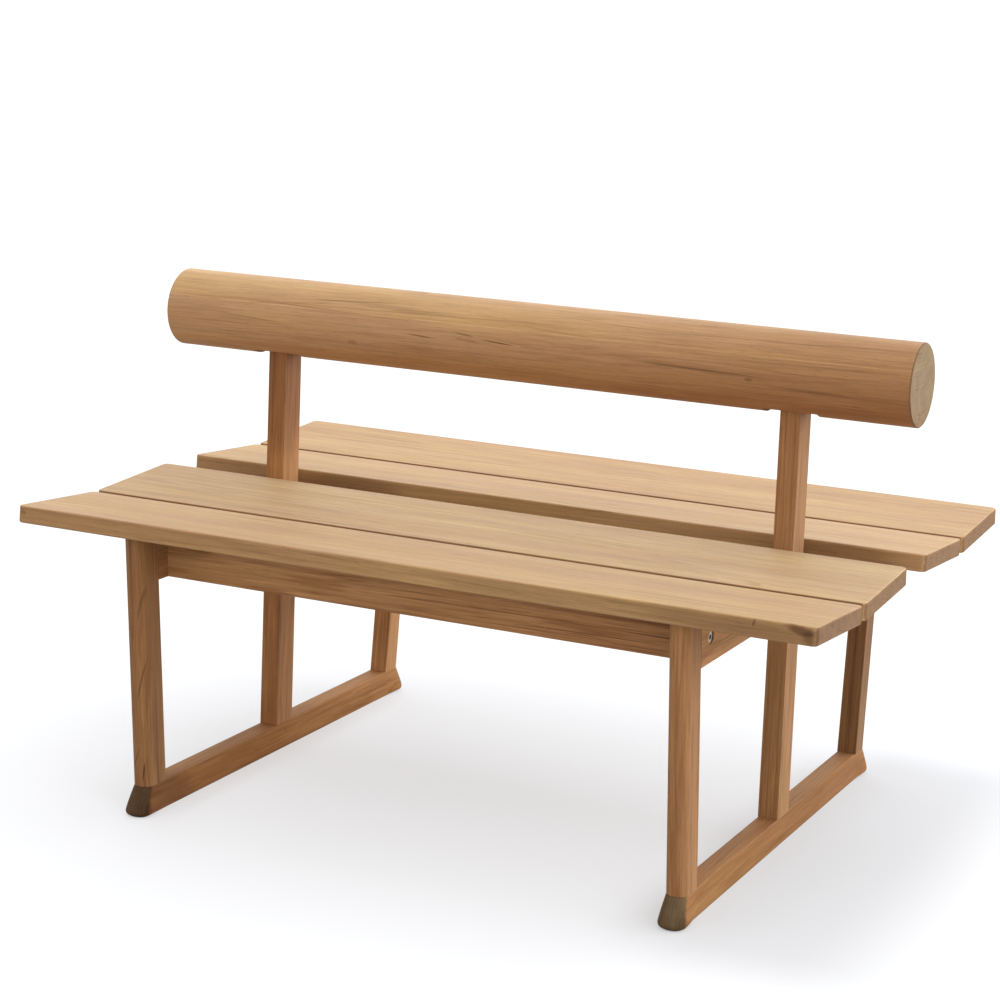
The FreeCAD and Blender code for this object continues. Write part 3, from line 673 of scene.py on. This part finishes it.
def dress(obj, material):
    """Gives every slot of an object one material."""
    slots = obj.data.materials
    if len(slots) == 0:
        slots.append(material)
    for i in range(len(slots)):
        slots[i] = material


# Runners

# A level's height, its half widths at the waist and at the foot, the foot's tip and its corner radius
Level = namedtuple("Level", "z waist half tip corner")


def soften(points, rounds):
    """Cuts the corners of an open line, again and again. Its two ends stay."""
    for _ in range(rounds):
        softer = [points[0]]
        for a, b in zip(points, points[1:]):
            softer += [a.lerp(b, 0.25), a.lerp(b, 0.75)]
        points = softer + [points[-1]]
    return points


def between(a, b, t):
    """Value at share t of the way from a to b."""
    return a + (b - a) * t


def ease(t):
    """Share t with a soft start and a soft end."""
    return t * t * (3 - 2 * t)


def edge_levels(height, top_tip):
    """Levels of a runner's rounded upper edge, from the top down."""
    levels = []
    for i in range(EDGE_STEPS + 1):
        a = math.pi / 2 * i / EDGE_STEPS
        inset = RUNNER_EDGE_R * (1 - math.sin(a))
        lip = FOOT_NOSE_LIP * (1 - math.sin(a))
        z = height - RUNNER_EDGE_R * (1 - math.cos(a))
        levels.append(Level(z, RUNNER_HALF - inset, RUNNER_HALF - lip, top_tip - lip, FOOT_TOP_R))
    return levels


def runner_levels(height, top_tip, sole_tip, widest_half):
    """Levels of a runner from top to bottom: the foot widens as its flank goes out, then turns in."""
    widest = top_tip + FOOT_FLARE
    flank = soften([Vector((top_tip, height)), Vector((widest, FOOT_WIDEST_Z + FOOT_FLANK_RISE)),
                    Vector((widest, FOOT_WIDEST_Z * FOOT_TURN_IN_SHARE)), Vector((sole_tip, 0.0))],
                   SOFTEN_ROUNDS)
    levels = edge_levels(height, top_tip)
    furthest = max(point.x for point in flank)
    turned_in = False
    for tip, z in flank[1:]:
        turned_in = turned_in or tip >= furthest
        if turned_in:
            t = (furthest - tip) / (furthest - sole_tip)
            level = Level(z, RUNNER_HALF - RUNNER_EDGE_R * t, widest_half - FOOT_SOLE_INSET * t, tip,
                          between(FOOT_WIDEST_R, FOOT_SOLE_R, t))
        else:
            t = (tip - top_tip) / (furthest - top_tip)
            level = Level(z, RUNNER_HALF, between(RUNNER_HALF, widest_half, t), tip,
                          between(FOOT_TOP_R, FOOT_WIDEST_R, t))
        if z < levels[-1].z - LEVEL_GAP:
            levels.append(level)
    return levels


def runner_ring(x, level, root):
    """Closed outline of a runner at one level, anticlockwise from the middle of its right side."""
    corner_x = level.half - level.corner
    corner_y = level.tip - level.corner
    quarter = [(level.waist, root * share) for share in WAIST_SHARES]
    for i in range(TAPER_STEPS + 1):
        t = i / TAPER_STEPS
        quarter.append((between(level.waist, level.half, ease(t)), between(root, corner_y, t)))
    for i in range(1, NOSE_STEPS + 1):
        a = math.pi / 2 * i / NOSE_STEPS
        quarter.append((corner_x + level.corner * math.cos(a), corner_y + level.corner * math.sin(a)))
    back = quarter[::-1]
    ring = quarter + [(-px, py) for px, py in back]
    ring += [(-px, -py) for px, py in quarter[1:]] + [(px, -py) for px, py in back[:-1]]
    return [Vector((x + px, py, level.z)) for px, py in ring]


def skin(rings):
    """Points and faces of a closed form over rings, which lie from top to bottom."""
    count = len(rings[0])
    lowest = (len(rings) - 1) * count
    points = [point for ring in rings for point in ring]
    faces = [list(range(count)), [lowest + i for i in reversed(range(count))]]
    for first in range(0, lowest, count):
        for i in range(count):
            j = (i + 1) % count
            faces.append([first + i, first + count + i, first + count + j, first + j])
    return points, faces


def mortises(x, top, leg_outer):
    """Points and faces of a runner's three mortises as closed forms: for a leg, the post and a leg."""
    half_x = TENON_THICK / 2 + TENON_CLEARANCE
    leg_half = LEG_DEPTH / 2 - TENON_SHOULDER + TENON_CLEARANCE
    post_half = POST_DEPTH / 2 - TENON_SHOULDER + TENON_CLEARANCE
    leg_middle = leg_outer - LEG_DEPTH / 2
    lean = math.tan(math.radians(LEG_LEAN_DEG))
    points = []
    faces = []
    for middle, half_y, slope in ((leg_middle, leg_half, lean), (0.0, post_half, 0.0),
                                  (-leg_middle, leg_half, -lean)):
        rings = [[(x + way_x * half_x, middle + slope * rise + way_y * half_y, top + rise)
                  for way_x, way_y in CORNERS] for rise in (MORTISE_OVERCUT, -MORTISE_DEPTH)]
        own_points, own_faces = skin(rings)
        faces += [[len(points) + i for i in face] for face in own_faces]
        points += own_points
    return points, faces


def placed(name, points, faces):
    """New mesh object in the scene."""
    mesh = bpy.data.meshes.new(name)
    mesh.from_pydata(points, [], faces)
    mesh.validate()
    obj = bpy.data.objects.new(name, mesh)
    bpy.context.scene.collection.objects.link(obj)
    return obj


def cut(obj, form):
    """Takes a closed form out of an object's mesh, and the form out of the scene."""
    modifier = obj.modifiers.new("cut", "BOOLEAN")
    modifier.object = form
    modifier.operation = "DIFFERENCE"
    modifier.solver = "EXACT"
    view = bpy.context.evaluated_depsgraph_get()
    obj.data = bpy.data.meshes.new_from_object(obj.evaluated_get(view))
    obj.modifiers.clear()
    bpy.data.meshes.remove(form.data)


def runner(side):
    """Finely rounded runner in the place of the CAD one."""
    node = f"sled_{side}"
    low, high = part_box(node)
    x = (low.x + high.x) / 2
    top_tip = high.y - FOOT_FLARE
    levels = runner_levels(high.z, top_tip, high.y - FOOT_SOLE_INSET, (high.x - low.x) / 2)
    rings = [runner_ring(x, level, top_tip - FOOT_LENGTH) for level in levels]
    obj = placed("runner_" + side, *skin(rings))
    cut(obj, placed("mortises_" + side, *mortises(x, high.z, top_tip)))
    for polygon in obj.data.polygons:
        polygon.use_smooth = True
    obj.data.set_sharp_from_angle(angle=math.radians(SHARP_ANGLE_DEG))
    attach(obj, "root")
    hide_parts(node)
    return obj


# The bench


def dress_seat(row, way, seeds):
    """Wood for one seat's planks, long rail, cleat, legs and side rails."""
    inner, outer = (centre_of(f"seat_plank_{row}_{place}").y for place in ("inner", "outer"))
    for place, lean in (("outer", way), ("inner", -way)):
        name = f"seat_plank_{row}_{place}"
        tilt = lean * SEAT_TILT_DEG
        finish = worn_board_with_seam_shade(name, tilt, (inner + outer) / 2)
        dress(nodes[name], teak(name, "x", next(seeds), PLANK_PITHS[place], lean_deg=-tilt,
                                finish=finish, **PLANK_WOOD))
    for name, axis in ((f"long_rail_{row}", "x"), (f"seat_cleat_{row}", "y")):
        dress(nodes[name], teak(name, axis, next(seeds), **RAIL_WOOD))
    for side in SIDES:
        for name, axis, lean in ((f"{row}_leg_{side}", "z", way * LEG_LEAN_DEG),
                                 (f"side_rail_{row}_{side}", "y", 0.0)):
            dress(nodes[name], teak(name, axis, next(seeds), lean_deg=lean, **LEG_WOOD))


def dress_bench():
    """Wood for every wooden piece, each with its own seed, and steel for the fasteners."""
    seeds = itertools.count(FIRST_SEED)
    for row, way in ROWS.items():
        dress_seat(row, way, seeds)
    for side in SIDES:
        sled = f"sled_{side}"
        post = f"back_post_{side}"
        dress(runner(side), teak(sled, "y", next(seeds), **SLED_WOOD))
        dress(nodes[post], teak(post, "z", next(seeds), **POST_WOOD))
    dress(nodes["backrest_log"], teak("backrest_log", "x", LOG_SEED, finish=log_finish, **LOG_WOOD))
    dress(nodes["frame_dowels"], teak("frame_dowels", "x", DOWEL_SEED, **DOWEL_WOOD))
    for name in FASTENERS:
        dress(nodes[name], steel(name))


# The studio


def camera():
    """The photograph's camera."""
    yaw, pitch, roll = (math.radians(a) for a in (CAMERA_YAW_DEG, CAMERA_PITCH_DEG, CAMERA_ROLL_DEG))
    ahead = Vector((-math.sin(yaw) * math.cos(pitch), math.cos(yaw) * math.cos(pitch), -math.sin(pitch)))
    flat_right = Vector((math.cos(yaw), math.sin(yaw), 0))
    flat_up = flat_right.cross(ahead)
    right = flat_right * math.cos(roll) + flat_up * math.sin(roll)
    up = flat_up * math.cos(roll) - flat_right * math.sin(roll)
    data = bpy.data.cameras.new("camera")
    data.sensor_width = SENSOR_MM
    data.lens = CAMERA_FOCAL_PX * SENSOR_MM / IMAGE_PX
    data.shift_y = (CAMERA_CENTRE_Y_PX - IMAGE_PX / 2) / IMAGE_PX
    data.clip_end = 4 * FLOOR_REACH
    obj = bpy.data.objects.new("camera", data)
    turn = Matrix((right, up, -ahead)).transposed().to_4x4()
    obj.matrix_world = Matrix.Translation(CAMERA_PLACE) @ turn
    bpy.context.scene.collection.objects.link(obj)
    bpy.context.scene.camera = obj


def floor_shade(g):
    """How dark the floor's painted shadow is: most at the bench's right end, and not at all away from it.
    """
    place = g.split(g.nodes.new("ShaderNodeTexCoord").outputs["Object"])
    fades = [g.remap(place["X"], *fade) for fade in FLOOR_SHADE_X]
    fades += [g.remap(place["Y"], *fade) for fade in FLOOR_SHADE_Y]
    return g.times(*fades, FLOOR_SHADE)


def floor_material():
    """White sweep, lit from below as far as the camera sees, so that shadows on it stay pale.
    At the bench's right end it is a little darker, as the photograph's shadow is."""
    material, g = fresh_material("studio_floor")
    bounce = g.add("ShaderNodeBsdfDiffuse", {"Color": FLOOR_BOUNCE})
    sweep = g.add("ShaderNodeBsdfDiffuse", {"Color": FLOOR_TONE})
    glow = g.add("ShaderNodeEmission", {"Color": WHITE, "Strength": FLOOR_GLOW})
    lit = g.add("ShaderNodeAddShader", {0: sweep.outputs[0], 1: glow.outputs[0]})
    dark = g.add("ShaderNodeBsdfDiffuse", {"Color": BLACK})
    shaded = g.add("ShaderNodeMixShader", {0: floor_shade(g), 1: lit.outputs[0], 2: dark.outputs[0]})
    ray = g.nodes.new("ShaderNodeLightPath").outputs["Is Camera Ray"]
    g.show(g.add("ShaderNodeMixShader", {0: ray, 1: bounce.outputs[0], 2: shaded.outputs[0]}))
    return material


def floor():
    """Wide floor, a little below the runners' soles."""
    points = [(x * FLOOR_REACH, y * FLOOR_REACH, 0) for x, y in CORNERS]
    obj = placed("floor", points, [(0, 1, 2, 3)])
    obj.location.z = -FLOOR_DROP
    dress(obj, floor_material())


def sines(angles_deg):
    return [math.sin(math.radians(a)) for a in angles_deg]


def light():
    """A wide soft panel overhead and lower ones behind, at the right and in front, in a dim room."""
    world = bpy.data.worlds.new("studio")
    world.use_nodes = True
    bpy.context.scene.world = world
    g = Graph(world.node_tree)
    way = g.nodes.new("ShaderNodeTexCoord").outputs["Generated"]
    x, y, z = g.split(way)
    top_edge = [math.cos(math.radians(a)) for a in TOP_PANEL_EDGE_DEG]
    top = g.remap(g.dot(way, tuple(Vector(TOP_PANEL_FROM).normalized())), *top_edge)
    low = g.remap(z, *sines(LOW_PANEL_TOP_DEG))
    back = g.times(g.remap(y, *LOW_PANEL_EDGE), low)
    side = g.times(g.remap(x, *LOW_PANEL_EDGE), low)
    front = g.times(g.remap(y, *FRONT_PANEL_EDGE), g.remap(z, *sines(FRONT_PANEL_RISE_DEG)),
                    g.remap(z, *sines(FRONT_PANEL_FALL_DEG)))
    glow = ROOM_GLOW
    for panel, strength in ((top, TOP_PANEL_GLOW), (back, BACK_PANEL_GLOW),
                            (side, SIDE_PANEL_GLOW), (front, FRONT_PANEL_GLOW)):
        glow = g.vector("ADD", glow, g.mix(panel, BLACK, strength))
    ray = g.nodes.new("ShaderNodeLightPath").outputs["Is Camera Ray"]
    backdrop = g.add("ShaderNodeBackground", {"Color": g.mix(ray, glow, WHITE)})
    g.show(backdrop, "ShaderNodeOutputWorld")


dress_bench()
camera()
floor()
light()
bpy.context.scene.view_settings.view_transform = "Standard"
